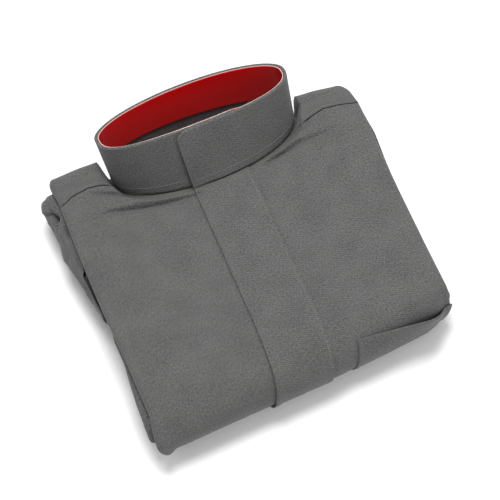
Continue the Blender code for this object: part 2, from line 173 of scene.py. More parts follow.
@dataclass(frozen=True)
class Twill:
    """Heather twill suiting on a UV map in metres.

    The colour is a dark and a light yarn mixed by flecks drawn out along and across the cloth, a
    soft mottle, and faint diagonal ribs, which also raise the surface.
    """

    name: str = "suiting_twill"
    dark: Triple = (0.036, 0.037, 0.036)
    light: Triple = (0.142, 0.144, 0.140)
    contrast: Pair = (0.33, 0.68)
    fleck: Pair = (0.9 * MM, 1.7 * MM)
    mottle: float = 22.0 * MM
    rib: float = 1.5 * MM
    rib_lean: float = math.radians(62)
    rib_scale: float = 0.314
    shares: Triple = (0.4, 0.14, 0.09)
    raised: float = 0.25 * MM

    def build(self) -> Material:
        """Build the node material.

        Returns:
            The material.
        """
        tree = Nodes(self.name, "UV")
        thin, long = (1.0 / size for size in self.fleck)
        ribs = tree.add("ShaderNodeTexWave", Scale=self.rib_scale, Distortion=1.2, Detail_Scale=2.0)
        turned = tree.stretched((1 / self.rib, 1 / self.rib, 1.0), self.rib_lean)
        tree.link(turned, ribs, "Vector")
        grain = tree.noise((thin, long, 1.0), 2.0)
        cross = tree.noise((long, thin, 1.0), 1.0)
        mottle = tree.noise((1 / self.mottle, 1 / self.mottle, 1.0), 2.0)
        for value, share in zip((cross, mottle, ribs.outputs["Fac"]), self.shares):
            grain = tree.blend(grain, value, share)
        tree.colour(grain, zip(self.contrast, (self.dark, self.light)))
        bump = tree.add("ShaderNodeBump", Strength=0.35, Distance=self.raised)
        tree.link(grain, bump, "Height")
        tree.link(bump.outputs["Normal"], tree.shader, "Normal")
        tree.put(tree.shader, Roughness=0.88, Sheen_Weight=0.12, Sheen_Roughness=0.5,
                 Specular_IOR_Level=0.25)
        return tree.material


@dataclass(frozen=True)
class Smooth:
    """A smooth finish whose colour varies a little, such as thread, film or board."""

    name: str
    colour: Triple
    roughness: float
    coat: float = 0.0
    vary: float = 0.15
    grain: float = 6.0 * MM

    def build(self) -> Material:
        """Build the node material, its colour mottled on Object coordinates.

        Returns:
            The material.
        """
        tree = Nodes(self.name, "Object")
        stops = [(place, tuple(min(part * step, 1.0) for part in self.colour))
                 for place, step in ((0.0, 1.0 - self.vary), (1.0, 1.0 + self.vary))]
        tree.colour(tree.noise((1 / self.grain,) * 3, 2.0), stops)
        tree.put(tree.shader, Roughness=self.roughness, Coat_Weight=self.coat, Coat_Roughness=0.08)
        return tree.material


Finish = Twill | Smooth


def material_of(finish: Finish) -> Material:
    """The finish's material, built when it is first asked for."""
    return bpy.data.materials.get(finish.name) or finish.build()


SUITING = Twill()
THREAD = Smooth("stitch_thread", (0.17, 0.174, 0.17), 0.7)
FILM = Smooth("glossy_red_band", (0.50, 0.001, 0.002), 0.16, coat=0.2, vary=0.06, grain=40 * MM)
CUT_EDGE = Smooth("pale_cut_edge", (0.62, 0.46, 0.42), 0.6, vary=0.08)
FLOOR = Smooth("pale_floor", (0.93, 0.93, 0.93), 0.9, vary=0.005, grain=300 * MM)


# Meshes


def quads(name: str, points: Array, faces: Array, *finishes: Finish) -> Mesh:
    """A smooth mesh of four-cornered faces.

    Args:
        name: Its name.
        points: Places of its corners.
        faces: Corner numbers, four to a face.
        finishes: Its finishes, the first one on every face.

    Returns:
        The mesh.
    """
    mesh = bpy.data.meshes.new(name)
    mesh.from_pydata(points.reshape(-1, 3).tolist(), [], faces.reshape(-1, 4).tolist())
    mesh.polygons.foreach_set("use_smooth", np.ones(len(mesh.polygons), dtype=bool))
    for finish in finishes:
        mesh.materials.append(material_of(finish))
    return mesh


def stand(name: str, data: bpy.types.ID) -> Thing:
    """Make an object of a mesh, light or camera, and put it into the scene."""
    thing = bpy.data.objects.new(name, data)
    bpy.context.scene.collection.objects.link(thing)
    return thing


@dataclass
class Piece:
    """One object of the scene, made from a grid of points."""

    name: str
    points: Array
    finish: Finish = SUITING
    wall: float = 1.5 * MM
    flip: bool = False
    around: bool = False
    rim: Smooth | None = None

    def lengths(self) -> Arrays:
        """Running length along each direction of the grid, averaged over the other one.

        Returns:
            Lengths at each row and at each column, the last one closing a ring.
        """
        points = self.points
        if self.around:
            points = np.concatenate((points, points[:, :1]), axis=1)
        down = np.linalg.norm(np.diff(points, axis=0), axis=-1).mean(axis=1)
        along = np.linalg.norm(np.diff(points, axis=1), axis=-1).mean(axis=0)
        return np.insert(np.cumsum(down), 0, 0.0), np.insert(np.cumsum(along), 0, 0.0)

    def mesh(self) -> Mesh:
        """Quads between neighbours in the grid, with a UV map in metres.

        Returns:
            The mesh, smooth and with its finishes.
        """
        rows, columns = self.points.shape[:2]
        last = columns if self.around else columns - 1
        row, column = np.meshgrid(np.arange(rows - 1), np.arange(last), indexing="ij")
        corners = [(row, column), (row, column + 1), (row + 1, column + 1), (row + 1, column)]
        if self.flip:
            corners.reverse()
        faces = np.stack([r * columns + c % columns for r, c in corners], axis=-1)
        finishes = (self.finish, self.rim) if self.rim else (self.finish,)
        mesh = quads(self.name, self.points, faces, *finishes)
        down, along = self.lengths()
        places = np.stack([np.stack((down[r], along[c]), axis=-1) for r, c in corners], axis=-2)
        mesh.uv_layers.new(name="cloth").data.foreach_set("uv", places.ravel())
        return mesh

    def build(self, node: str, slot: str = "suiting", held: str | None = "folded",
              rests_on: tuple[str, ...] = ()) -> Thing:
        """Make the object with its wall, parent it to the body, and hide the CAD part that it
        replaces.

        Args:
            node: CAD node that it replaces.
            slot: Material slot of the record; not used.
            held: How the sheet is held, or None where it isn't a sheet; not used.
            rests_on: What the sheet lies on; not used.

        Returns:
            The object.
        """
        thing = stand(self.name, self.mesh())
        shell = thing.modifiers.new("Wall", "SOLIDIFY")
        shell.thickness = self.wall
        shell.offset = -1.0
        shell.material_offset_rim = 1 if self.rim else 0
        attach(thing, BODY)
        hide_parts(node)
        LOG.info("%s: %d by %d points", self.name, *self.points.shape[:2])
        return thing


# Layout


@dataclass(frozen=True)
class Crease:
    """A soft trough in the cloth, from one place to another, steeper on one side than the other.

    The two widths are those on the right of the way from start to end, and on its left.
    """

    start: Pair
    end: Pair
    depth: float
    widths: Pair

    # Share of the depth that is left at both ends
    END_SHARE = 0.35

    def sink(self, x: Array, y: Array) -> Array:
        """Depth of the trough: a bell across it, tapered towards both of its ends.

        Args:
            x: Places across.
            y: Places along.

        Returns:
            How far the cloth sinks, or rises where the depth is negative.
        """
        run = np.subtract(self.end, self.start)
        along = ((x - self.start[0]) * run[0] + (y - self.start[1]) * run[1]) / (run @ run)
        near = np.clip(along, 0.0, 1.0)
        aside_x, aside_y = x - self.start[0] - near * run[0], y - self.start[1] - near * run[1]
        on_left = run[0] * aside_y - run[1] * aside_x > 0.0
        ratio = np.hypot(aside_x, aside_y) / np.where(on_left, self.widths[1], self.widths[0])
        taper = mix(self.END_SHARE, 1.0, np.sin(np.pi * near))
        return self.depth * taper * np.exp(-(ratio ** 2))


@dataclass(frozen=True)
class Layout:
    """Sizes of the folded robe, and the loops that every panel is laid along."""

    thick: float = 50 * MM
    fold_y: float = -97 * MM
    hem_r: float = 6.5 * MM
    hem_y: float = 104 * MM
    side_r: float = 4.5 * MM
    edge_fall: float = 2.5 * MM
    edge_span: Pair = (96 * MM, 124 * MM)
    square_x: float = 100 * MM
    edge_x: float = 120 * MM
    spine_end_y: float = 86 * MM
    origin: Triple = (-3.3 * MM, 14.6 * MM, 0.0)
    under_reach: float = 117 * MM
    rest_rise: Pair = (4 * MM, 30 * MM)
    tilt: float = math.radians(24.5)
    neck: Triple = (0.6 * MM, 107.5 * MM, 29.2 * MM)
    base: Triple = (79.3 * MM, 52.1 * MM, 33.0 * MM)
    neck_tuck: float = 3.0 * MM
    neck_gap: float = 2.4 * MM
    wall_middle: Pair = (0.6 * MM, 112.7 * MM)
    wall_size: Triple = (80.0 * MM, 41.6 * MM, 37.3 * MM)
    dent_margin: float = 1.4 * MM
    dent_width: Pair = (11 * MM, 5 * MM)
    dent_change: Pair = (76 * MM, 92 * MM)
    dent_stop: float = math.radians(70)
    crease_start: float = 7 * MM
    shoulder_y: float = 104.4 * MM
    shoulder_skew: float = -0.061
    shoulder_foot: float = 18.5 * MM
    nape_foot: float = 3 * MM
    nape: Pair = (92 * MM, 33.5 * MM)
    shoulder_span: Pair = (62 * MM, 86 * MM)
    foot_span: Pair = (45 * MM, 95 * MM)
    yoke_turn: float = math.radians(136)
    seam_gap: float = 1.2 * MM
    slant_stop: Pair = (60 * MM, 112 * MM)

    # Least ratio to an oval's size, so that its middle has a distance too
    LEAST_RATIO = 0.05

    # Half width of the front at its side folds, in millimetres. Columns: y, right, left
    REACH = np.array((
        (-125, 122.5, 118.0), (-104, 118.8, 121.5), (-58, 120.5, 122.6), (-8, 123.5, 124.4),
        (30, 124.5, 126.3), (60, 125.0, 128.6), (84, 125.0, 129.4), (97, 125.0, 127.5),
        (106, 126.3, 124.5), (118, 127.5, 121.5),
    )) * MM

    # How far the lower fold draws in from a straight line, in millimetres. Columns: x, distance
    FOLD_EDGE = np.array((
        (-125, -9), (-119, -7.5), (-112, -4.4), (-60, -2), (0, 0), (25, 0.8), (41, 2.8), (70, 5),
        (100, 9), (112, 12), (122, 16),
    )) * MM

    # How far the trims slant across the lower fold, in millimetres. Columns: run, distance
    SLANT = np.array(((-20, 0), (12, -1.5), (28, -4), (46, -8), (62, -11.5))) * MM

    # Yoke seam across each shoulder, in millimetres. Columns: x, y
    YOKE_SEAM = np.array((
        (-126, 87), (-121, 92.5), (-113, 96.5), (-98, 97.5), (-88, 95.5), (-79, 91), (-64, 90),
        (64, 84), (72, 81.5), (79, 81), (88, 84), (100, 87), (112, 85.5), (121, 82.5), (130, 79),
    )) * MM

    # Soft troughs and ridges beside the collar and down the fronts
    CREASES = tuple(Crease((x * MM, y * MM), (end_x * MM, end_y * MM), depth * MM,
                           (low * MM, high * MM)) for x, y, end_x, end_y, depth, low, high in (
        (-92, 70, -20, 54.8, 6.6, 3.8, 1.5), (-98, 92, -58, 73, 3.6, 3.0, 1.4),
        (-98, 83, -52, 69, -1.8, 4.0, 4.0),
        (36, 60, 70, 67, 5.4, 3.2, 1.4), (58, 65.5, 102, 66, 3.2, 4.0, 1.8),
        (58, 70, 86, 82, 3.0, 3.0, 1.2), (50, 71, 112, 76, -1.4, 4.5, 4.5),
        (-60, 10, -75, -70, -0.9, 14.0, 14.0), (70, 20, 62, -60, 0.9, 13.0, 13.0),
        (100, 60, 108, -40, -0.9, 9.0, 9.0),
    ))

    @property
    def fold_r(self) -> float:
        """Radius of the soft lower fold."""
        return self.thick / 2

    def placed(self, points: Array) -> Array:
        """Move points from the layout into the part's frame."""
        return points - np.array(self.origin)

    def neck_plane(self, y: Array) -> Array:
        """Height of the tilted plane that holds the neck seam."""
        return self.neck[2] + (self.neck[1] - y) * math.tan(self.tilt)

    def outside_neck(self, x: Array, y: Array) -> Array:
        """Distance in plan from the neck seam's oval, negative inside it."""
        wide, near, far = self.base
        lean = math.cos(self.tilt)
        return self.outside(x, y, self.neck[:2], (wide, near * lean, far * lean))

    @classmethod
    def outside(cls, x: Array, y: Array, middle: Pair, size: Triple) -> Array:
        """Distance in plan from an oval, negative inside it.

        Args:
            x: Places across.
            y: Places along.
            middle: Its middle.
            size: Half width, near depth and far depth.

        Returns:
            The distance from the middle, less its share that lies inside the oval.
        """
        across, along = x - middle[0], y - middle[1]
        ratio = np.hypot(across / size[0], along / np.where(along < 0.0, size[1], size[2]))
        return np.hypot(across, along) * (1.0 - 1.0 / np.maximum(ratio, cls.LEAST_RATIO))

    def dent(self, x: Array, y: Array) -> Array:
        """How far the top sinks: to the neck's plane beside the collar, and along the creases.

        It comes back up between the neck's oval and the oval where the collar's wall is level
        with the top of the stack, or in a short ramp where the wall leans the other way.
        """
        sink = np.maximum(self.thick - (self.neck_plane(y) - self.neck_gap), 0.0)
        away = self.outside_neck(x, y)
        behind = away - self.outside(x, y, self.wall_middle, self.wall_size)
        width = np.maximum(behind, mix(*self.dent_width, smooth(*self.dent_change, y)))
        share = 1.0 - smooth(0.0, 1.0, (away - self.dent_margin) / width)
        soft = sum(crease.sink(x, y) for crease in self.CREASES)
        return sink * share + soft * smooth(0.0, self.crease_start, away)

    def seam(self, x: Array) -> Array:
        """Upper edge of the fronts: half an oval round the neck, then the yoke's seam."""
        reach = np.clip((x - self.neck[0]) / (self.base[0] - self.neck_tuck), -1.0, 1.0)
        deep = self.base[1] * math.cos(self.tilt) - self.neck_tuck
        front = self.neck[1] - deep * np.sqrt(1.0 - reach * reach)
        return np.minimum(front, np.interp(x, self.YOKE_SEAM[:, 0], self.YOKE_SEAM[:, 1]))

    def slant(self, x: Array, run: Array) -> Array:
        """How far a trim's points move across at the lower fold, less towards the side."""
        shift = np.interp(run, self.SLANT[:, 0], self.SLANT[:, 1])
        return shift * smooth(self.slant_stop[1], self.slant_stop[0], x)

    def reach(self, x: Array, y: Array, z: Array) -> Array:
        """Half width at the side folds: the table on top, one even width where it rests."""
        right = np.interp(y, self.REACH[:, 0], self.REACH[:, 1])
        left = np.interp(y, self.REACH[:, 0], self.REACH[:, 2])
        return mix(self.under_reach, np.where(x < 0, right, left), smooth(*self.rest_rise, z))

    def edge_ease(self, x: Array) -> Array:
        """How far the top falls away towards the side folds."""
        return self.edge_fall * smooth(*self.edge_span, np.abs(x))

    def body_loop(self, x: Array, run: Array, layer: float) -> Arrays:
        """Place on the loop down the front, round the lower fold and back along the ground.

        The run is nothing where the lower fold starts. The fold is half a circle, the way back
        is straight, and the skirt's second fold is part of a small circle.

        Args:
            x: Places across.
            run: Length along the loop from the start of the lower fold.
            layer: Distance inwards from the outer face.

        Returns:
            y and z.
        """
        corner = np.interp(x, self.FOLD_EDGE[:, 0], self.FOLD_EDGE[:, 1])
        turn = np.clip(run / self.fold_r, 0.0, math.pi)
        straight = self.hem_y - self.fold_y
        under = np.clip(run - math.pi * self.fold_r, 0.0, straight)
        second = np.clip((run - math.pi * self.fold_r - straight) / self.hem_r, 0.0, math.pi)
        radius = self.fold_r - layer - self.edge_ease(x) * (1.0 + np.cos(turn)) / 2.0
        y = self.fold_y + (corner - radius) * np.sin(turn) - np.minimum(run, 0.0) + under
        z = self.fold_r + radius * np.cos(turn)
        y = y + (self.hem_r - layer) * np.sin(second)
        z = z + (self.hem_r - layer) * (1.0 - np.cos(second))
        near = smooth(self.dent_stop, 0.0, turn)
        return y, z - self.dent(x, y) * near

    def yoke_loop(self, x: Array, share: Array, layer: float) -> Arrays:
        """Place on the loop from the yoke's seam, share 0 to 1, and round the shoulder, 1 to 2.

        Args:
            x: Places across.
            share: Share of the way.
            layer: Distance inwards from the outer face.

        Returns:
            y and z.
        """
        start = self.seam(x) + self.seam_gap / 2
        nape = self.neck[1] + self.nape[1] * np.sqrt(np.maximum(1.0 - (x / self.nape[0]) ** 2, 0))
        shoulder = self.shoulder_y + self.shoulder_skew * x
        edge = mix(nape, shoulder, smooth(*self.shoulder_span, np.abs(x)))
        foot = mix(self.nape_foot, self.shoulder_foot, smooth(*self.foot_span, np.abs(x)))
        ease = self.edge_ease(x)
        tall = (self.thick - ease - self.dent(x, edge) - foot) / 2.0
        turn = np.clip(share - 1.0, 0.0, 1.0) * self.yoke_turn
        flat_y = mix(start, edge, np.clip(share, 0.0, 1.0))
        flat_z = self.thick - ease - self.dent(x, flat_y) - layer
        rolled = foot + tall + (tall - layer) * np.cos(turn)
        return flat_y + (tall - layer) * np.sin(turn), np.where(share <= 1.0, flat_z, rolled)

    def drawn_in(self, y: Array, z: Array, depth: Array, layer: float) -> Arrays:
        """Move a loop's points towards the spine of the stack, by the depth past their layer."""
        share = (depth - layer) / (self.thick / 2 - layer)
        spine = np.clip(y, self.fold_y, self.spine_end_y)
        return mix(y, spine, share), mix(z, self.thick / 2, share)

    def square_out(self, x: Array, y: Array, z: Array) -> Array:
        """Spread the columns beyond square_x, so that the last one meets the side fold."""
        share = (np.abs(x) - self.square_x) / (self.edge_x - self.square_x)
        wide = self.reach(x, y, z) - self.side_r
        return np.where(share > 0.0, np.sign(x) * mix(self.square_x, wide, share), x)

    def lay(self, away: Array, stations: Callable[[Array], Array], loop: Loop,
            layer: float) -> Array:
        """Lay a panel's grid along a loop, and round the pressed fold at its sides.

        A column further out than edge_x turns round a circle at the side fold, and its points
        are drawn in towards the spine by the depth that it has reached.

        Args:
            away: Distance of each column from the centre front, measured along the cloth.
            stations: Gives the loop's stations for columns of nominal x.
            loop: body_loop or yoke_loop.
            layer: Distance inwards from the outer face, negative for what lies on it.

        Returns:
            Points, by column and station.
        """
        side = np.where(away < 0, -1.0, 1.0)[:, None]
        nominal = np.clip(away, -self.edge_x, self.edge_x)[:, None]
        fold = self.side_r - layer
        turn = np.maximum(np.abs(away) - self.edge_x, 0.0)[:, None] / fold
        rows = stations(nominal)
        x = np.broadcast_to(nominal, rows.shape)
        y, z = loop(x, rows, layer)
        y, z = self.drawn_in(y, z, self.side_r - fold * np.cos(turn), layer)
        folded = side * (self.reach(x, y, z) + fold * np.sin(turn) - self.side_r)
        x = np.where(turn > 0.0, folded, self.square_out(x, y, z))
        return self.placed(np.stack((x, y, z), axis=-1))


# Panels


@dataclass
class Panels:
    """The two fronts, the placket and pocket on them, and the yoke over the shoulders."""

    layout: Layout
    lay_step: float = 1.8 * MM
    step: float = 1.0 * MM
    fold_turn: float = math.radians(150)
    hem_turn: float = math.radians(70)
    centre_gap: float = 0.15 * MM
    placket_open: float = -22 * MM
    placket_sewn: float = 25 * MM
    trim_turn: float = math.radians(138)
    edge_lift: float = 1.2 * MM
    lift_span: float = 9 * MM
    pocket_x: float = 45.5 * MM
    pocket_wrap: float = math.radians(92)
    pocket_gape: float = 6.0 * MM
    gape_lean: float = 2.4
    gape_reach: float = 0.55
    rise_span: Pair = (-30 * MM, 20 * MM)
    rise_stop: Pair = (66 * MM, 40 * MM)
    creased: float = 0.72
    trim_tuck: float = 3 * MM

    # Columns round a side fold, across the placket, and rows along the placket and the pocket
    FOLD_COLUMNS, PLACKET_COLUMNS, PLACKET_ROWS, POCKET_ROWS = 15, 44, 190, 54

    # Rows of a front: creased part, plain part, lower fold, way back and second fold
    FRONT_ROWS = (100, 70, 44, 40, 8)

    # Rows of the yoke, on its flat and round the shoulder
    YOKE_ROWS = (46, 34)

    # Pocket's mouth round the lower fold. Columns: x in millimetres, turn in degrees
    MOUTH = np.array(((45.5, 38.5), (64, 45), (82, 53.5), (97, 60), (104, 64), (111, 70.5),
                      (116, 78), (119, 80.5), (121, 80), (123, 80), (125, 78), (130, 84)))

    @property
    def pocket_layer(self) -> float:
        """Layer of the pocket, just over the placket's."""
        return -self.lay_step - 0.1 * MM

    def columns(self, low: float, high: float, turn: float, layer: float) -> Array:
        """Distances of a panel's columns: even on the flat, closer round the side fold.

        Args:
            low: Nearest distance to the centre.
            high: Last one on the flat.
            turn: How far the panel goes round the side fold, or 0.
            layer: Distance inwards from the outer face.

        Returns:
            Distances along the cloth.
        """
        flat = np.linspace(low, high, 2 + int((high - low) / self.step))
        turns = np.linspace(0.0, turn, self.FOLD_COLUMNS)[1:]
        round_fold = high + (self.layout.side_r - layer) * turns
        return np.concatenate((flat, round_fold)) if turn else flat

    def front_stations(self, nominal: Array) -> Array:
        """Stations of a front, from its upper edge to the skirt's second fold.

        Args:
            nominal: Nominal x of the columns.

        Returns:
            Runs by column and row.
        """
        shape = self.layout
        creased, plain, fold, back, second = self.FRONT_ROWS
        top = shape.seam(nominal) - shape.seam_gap / 2
        climb = np.concatenate((np.linspace(1.0, self.creased, creased),
                                np.linspace(self.creased, 0.0, plain)[1:]))
        upper = (shape.fold_y - top) * climb
        half = math.pi * shape.fold_r
        straight = half + (shape.hem_y - shape.fold_y) * np.linspace(0.0, 1.0, back)[1:]
        hem = straight[-1] + shape.hem_r * np.linspace(0.0, self.hem_turn, second)[1:]
        lower = np.concatenate((np.linspace(0.0, half, fold)[1:], straight, hem))
        return np.concatenate((upper, np.broadcast_to(lower, (len(upper), len(lower)))), axis=1)

    def trim_stations(self, nominal: Array) -> Array:
        """Stations of the placket, from the neck seam round the lower fold.

        Args:
            nominal: Nominal x of the columns.

        Returns:
            Runs by column and row.
        """
        shape = self.layout
        start = shape.fold_y - (shape.seam(nominal) - shape.seam_gap / 2 - self.trim_tuck)
        shares = np.linspace(0.0, 1.0, self.PLACKET_ROWS)
        return mix(start, shape.fold_r * self.trim_turn, shares)

    def front(self, side: Side) -> Thing:
        """One front, from the neck and yoke seams to the skirt's second fold."""
        shape = self.layout
        away = side.value * self.columns(self.centre_gap, shape.edge_x, self.fold_turn, 0.0)
        points = shape.lay(away, self.front_stations, shape.body_loop, 0.0)
        name = f"front_{side.word}"
        return Piece(f"{name}_panel", points, flip=side is Side.RIGHT).build(
            name, rests_on=("folded_layers",))

    def placket(self) -> Thing:
        """Strip that covers the front opening."""
        away = np.linspace(self.placket_open, self.placket_sewn, self.PLACKET_COLUMNS)
        lifted = self.edge_lift * smooth(self.lift_span, 0.0, away - away[0])[:, None]

        def loop(x: Array, run: Array, depth: float) -> Arrays:
            """body_loop with the open edge lifted towards the lower fold."""
            rise = lifted * smooth(*self.rise_span, run) * smooth(*self.rise_stop, run)
            return self.layout.body_loop(x, run, depth - rise)

        points = self.layout.lay(away, self.trim_stations, loop, -self.lay_step)
        points[..., 0] += self.layout.slant(away[:, None], self.trim_stations(away[:, None]))
        return Piece("placket_strip", points).build("placket", rests_on=("front_left",))

    def pocket_points(self, away: Array, share: Array, layer: float) -> Array:
        """Points of the pocket, whose mouth stands open between its sewn ends.

        The mouth is lifted off the fold by a half wave across it that fades away from the
        mouth with the square of the share that is left.

        Args:
            away: Distances of the columns from the centre.
            share: Shares from the mouth, 0, to the lower end, 1.
            layer: Distance inwards from the outer face.

        Returns:
            Points, by column and row.
        """
        shape = self.layout
        along = np.clip((away - self.pocket_x) / (shape.edge_x - self.pocket_x), 0.0, 1.0)
        gape = self.pocket_gape * np.sin(np.pi * along ** self.gape_lean)[:, None]
        lift = gape * (1.0 - np.clip(share / self.gape_reach, 0.0, 1.0)) ** 2
        mouth = np.radians(np.interp(away, self.MOUTH[:, 0] * MM, self.MOUTH[:, 1]))[:, None]
        runs = shape.fold_r * mix(mouth, self.trim_turn, share)

        def loop(x: Array, run: Array, depth: float) -> Arrays:
            """body_loop with the mouth's lift taken off its depth."""
            return shape.body_loop(x, run, depth - lift)

        points = shape.lay(away, lambda nominal: runs, loop, layer)
        points[..., 0] += shape.slant(away[:, None], runs)
        return points

    def pocket(self) -> Thing:
        """Patch pocket at the lower fold and round the left side."""
        layer = self.pocket_layer
        away = self.columns(self.pocket_x, self.layout.edge_x, self.pocket_wrap, layer)
        points = self.pocket_points(away, np.linspace(0.0, 1.0, self.POCKET_ROWS), layer)
        return Piece("chest_pocket_patch", points).build("chest_pocket", rests_on=("front_left",))

    def yoke(self) -> Thing:
        """Yoke over both shoulders and behind the collar."""
        shape = self.layout
        half = self.columns(self.step, shape.edge_x, self.fold_turn, 0.0)
        away = np.concatenate((-half[::-1], (0.0,), half))
        flat, rolled = self.YOKE_ROWS
        shares = np.concatenate((np.linspace(0.0, 1.0, flat), np.linspace(1.0, 2.0, rolled)[1:]))
        rows = np.broadcast_to(shares, (len(away), len(shares)))
        points = shape.lay(away, lambda nominal: rows, shape.yoke_loop, 0.0)
        return Piece("yoke_panel", points, flip=True).build("yoke", rests_on=("folded_layers",))

    def build(self) -> None:
        """Build every panel."""
        for side in Side:
            self.front(side)
        self.placket()
        self.pocket()
        self.yoke()


# Stack of plies


@dataclass
class Stack:
    """The hidden layers, one closed form whose sides show the plies between the folds."""

    layout: Layout
    sleeves: "Sleeves"
    lay: float = 1.8 * MM
    gap: float = 0.3 * MM
    sink: float = 2.4 * MM
    sink_span: Pair = (20 * MM, 30 * MM)
    sink_run: float = 60 * MM
    steep: float = 4.5 * MM
    steep_from: Pair = (55 * MM, 65 * MM)
    steep_to: Pair = (105 * MM, 90 * MM)
    hem_turn: float = math.radians(70)
    hem_slack: float = 1.2 * MM
    hem_tuck: float = 2.5 * MM
    tuck_y: float = 96 * MM
    notch: Pair = (101 * MM, 12.4 * MM)
    sleeve_lead: Pair = (-34 * MM, -9 * MM)
    ply_slack: float = 0.7 * MM
    groove: float = 2.0 * MM
    slot_in: float = 9.0 * MM
    filling_stop: Pair = (66 * MM, 80 * MM)
    first_share: float = 0.05
    first_turn: float = 0.3

    # Stations up the front, over the shoulder and back beneath, and columns across
    STATIONS = (60, 34, 56)
    COLUMNS = 97

    # Columns round the pressed fold inside, and round each ply
    FOLD_COLUMNS, PLY_COLUMNS = 7, 11

    # Plies between the pressed folds, in millimetres. Columns: upper depth, lower depth
    PLIES = np.array(((9.4, 16.6), (17.2, 24.4))) * MM

    # Reach of each ply past the front's fold. Columns: right upper and lower, left upper and lower
    PLY_REACH = np.array(((6.5, -1.0, 1.5, -0.5), (2.5, 1.0, 3.0, 1.5))) * MM

    # The right upper ply swells and draws in again towards the lower fold. Columns: y, share
    SWELL = np.array(((-122, 0.8), (-113, 0.95), (-90, 0.85), (-72, 0.6), (-52, 0.25), (-20, 0.2)))

    def loops(self, x: Array) -> Arrays:
        """Closed loop of each column: up the front, over the shoulder and back beneath.

        Args:
            x: Nominal places across, as a column.

        Returns:
            y and z, by column and station.
        """
        shape = self.layout
        front, shoulder, beneath = self.STATIONS
        top = shape.fold_y - shape.seam(x) + shape.seam_gap / 2
        quarter = shape.fold_r * math.pi / 2
        outside = shape.outside_neck(x, shape.seam(x))
        sunk = self.lay + self.sink * (1.0 - smooth(*self.sink_span, outside))
        upper = mix(quarter, top, np.linspace(0.0, 1.0, front))
        under = np.where(upper < -self.sink_run, sunk, self.lay)
        front_y, front_z = shape.body_loop(x, upper, under)
        steep = smooth(*self.steep_from, np.abs(x)) * smooth(*self.steep_to, np.abs(x))
        shares = np.linspace(self.first_share, 2.0, shoulder) + np.zeros_like(x)
        yoke_y, yoke_z = shape.yoke_loop(x, shares, sunk + self.steep * steep)
        start = math.pi * shape.fold_r + shape.hem_y - shape.fold_y
        second = shape.hem_r * self.hem_turn
        lower = np.linspace(start + second, quarter + self.gap, beneath) + np.zeros_like(x)
        depth = np.where(lower > start, self.lay + self.hem_slack, self.lay)
        lower_y, lower_z = shape.body_loop(x, lower, depth)
        notch_y, notch_z = (value + np.zeros_like(x) for value in self.notch)
        return (np.concatenate((front_y, yoke_y, notch_y, lower_y), axis=1),
                np.concatenate((front_z, yoke_z, notch_z, lower_z), axis=1))

    def profile(self) -> list[tuple[float, float, int | None]]:
        """Side of the stack: depth, offset from the front's fold, and ply where it lies on one.

        Returns:
            Entries from the pressed fold in to the spine.
        """
        shape = self.layout
        fold = shape.side_r - self.lay - self.ply_slack
        entries: list[tuple[float, float, int | None]] = [
            (shape.side_r - fold * math.cos(turn), fold * math.sin(turn) - shape.side_r, None)
            for turn in np.linspace(self.first_turn, math.pi, self.FOLD_COLUMNS)]
        for number, (upper, lower) in enumerate(self.PLIES):
            radius = (lower - upper) / 2
            entries.append((upper - self.gap, -shape.side_r - self.groove, None))
            entries += [(upper + radius - radius * math.cos(turn),
                         radius * math.sin(turn) - radius, number)
                        for turn in np.linspace(0.0, math.pi, self.PLY_COLUMNS)]
        entries.append((self.PLIES[-1][1], -shape.side_r, None))
        return entries

    def side(self, side: Side) -> Array:
        """Columns of one side, each drawn in along the loop by its depth.

        Args:
            side: Which side.

        Returns:
            Points by column and station, from the fold in to the spine.
        """
        shape = self.layout
        loop_y, loop_z = (part[0] for part in self.loops(np.array([[side.value * shape.edge_x]])))
        lower_half = np.where(loop_z > shape.thick / 2 - self.gap, 0, 1)
        half = lower_half + (0 if side is Side.RIGHT else 2)
        in_sleeve = smooth(*self.sleeve_lead, loop_y) * (loop_y < self.sleeves.head[side])
        tuck = np.where((loop_y > self.tuck_y) & (lower_half > 0), self.hem_tuck, 0.0)
        swell = np.interp(loop_y, self.SWELL[:, 0] * MM, self.SWELL[:, 1])
        columns = []
        for depth, offset, ply in self.profile():
            y, z = shape.drawn_in(loop_y, loop_z, depth, self.lay)
            out = offset - tuck
            if ply is not None:
                out = out + self.PLY_REACH[ply][half] * np.where(half == 0, swell, 1.0)
                out = mix(out, self.filling(side, loop_y, depth), in_sleeve)
            x = side.value * (shape.reach(np.full_like(y, side.value), y, z) + out)
            columns.append(np.stack((x, y, z), axis=-1))
        return np.array(columns)

    def filling(self, side: Side, y: Array, depth: float) -> Array:
        """Offset of the plies inside the sleeve: a slot for its edges, then a rounded filling.

        Args:
            side: Which side.
            y: Places along.
            depth: How deep the ply lies.

        Returns:
            Offsets from the front's fold.
        """
        slack = self.sleeves.slack[side]
        radius = self.sleeves.half - slack - self.gap
        rounding = 1.0 - ((depth - self.layout.thick / 2) / radius) ** 2
        full = self.sleeves.stands_out(side, y) * (1.0 - smooth(*self.filling_stop, y))
        filled = full * math.sqrt(max(rounding, 0.0)) - slack
        return filled if rounding > 0.0 else np.full_like(y, -self.slot_in)

    def build(self) -> Thing:
        """One shell round the stack, from spine to spine."""
        shape = self.layout
        flat = np.linspace(-shape.edge_x, shape.edge_x, self.COLUMNS)[:, None]
        y, z = self.loops(flat)
        x = shape.square_out(flat + np.zeros_like(y), y, z)
        middle = np.stack((x, y, z), axis=-1)
        points = np.concatenate((self.side(Side.RIGHT)[::-1], middle, self.side(Side.LEFT)))
        piece = Piece("folded_plies", shape.placed(points), wall=1.0 * MM, flip=True, around=True)
        return piece.build("folded_layers")


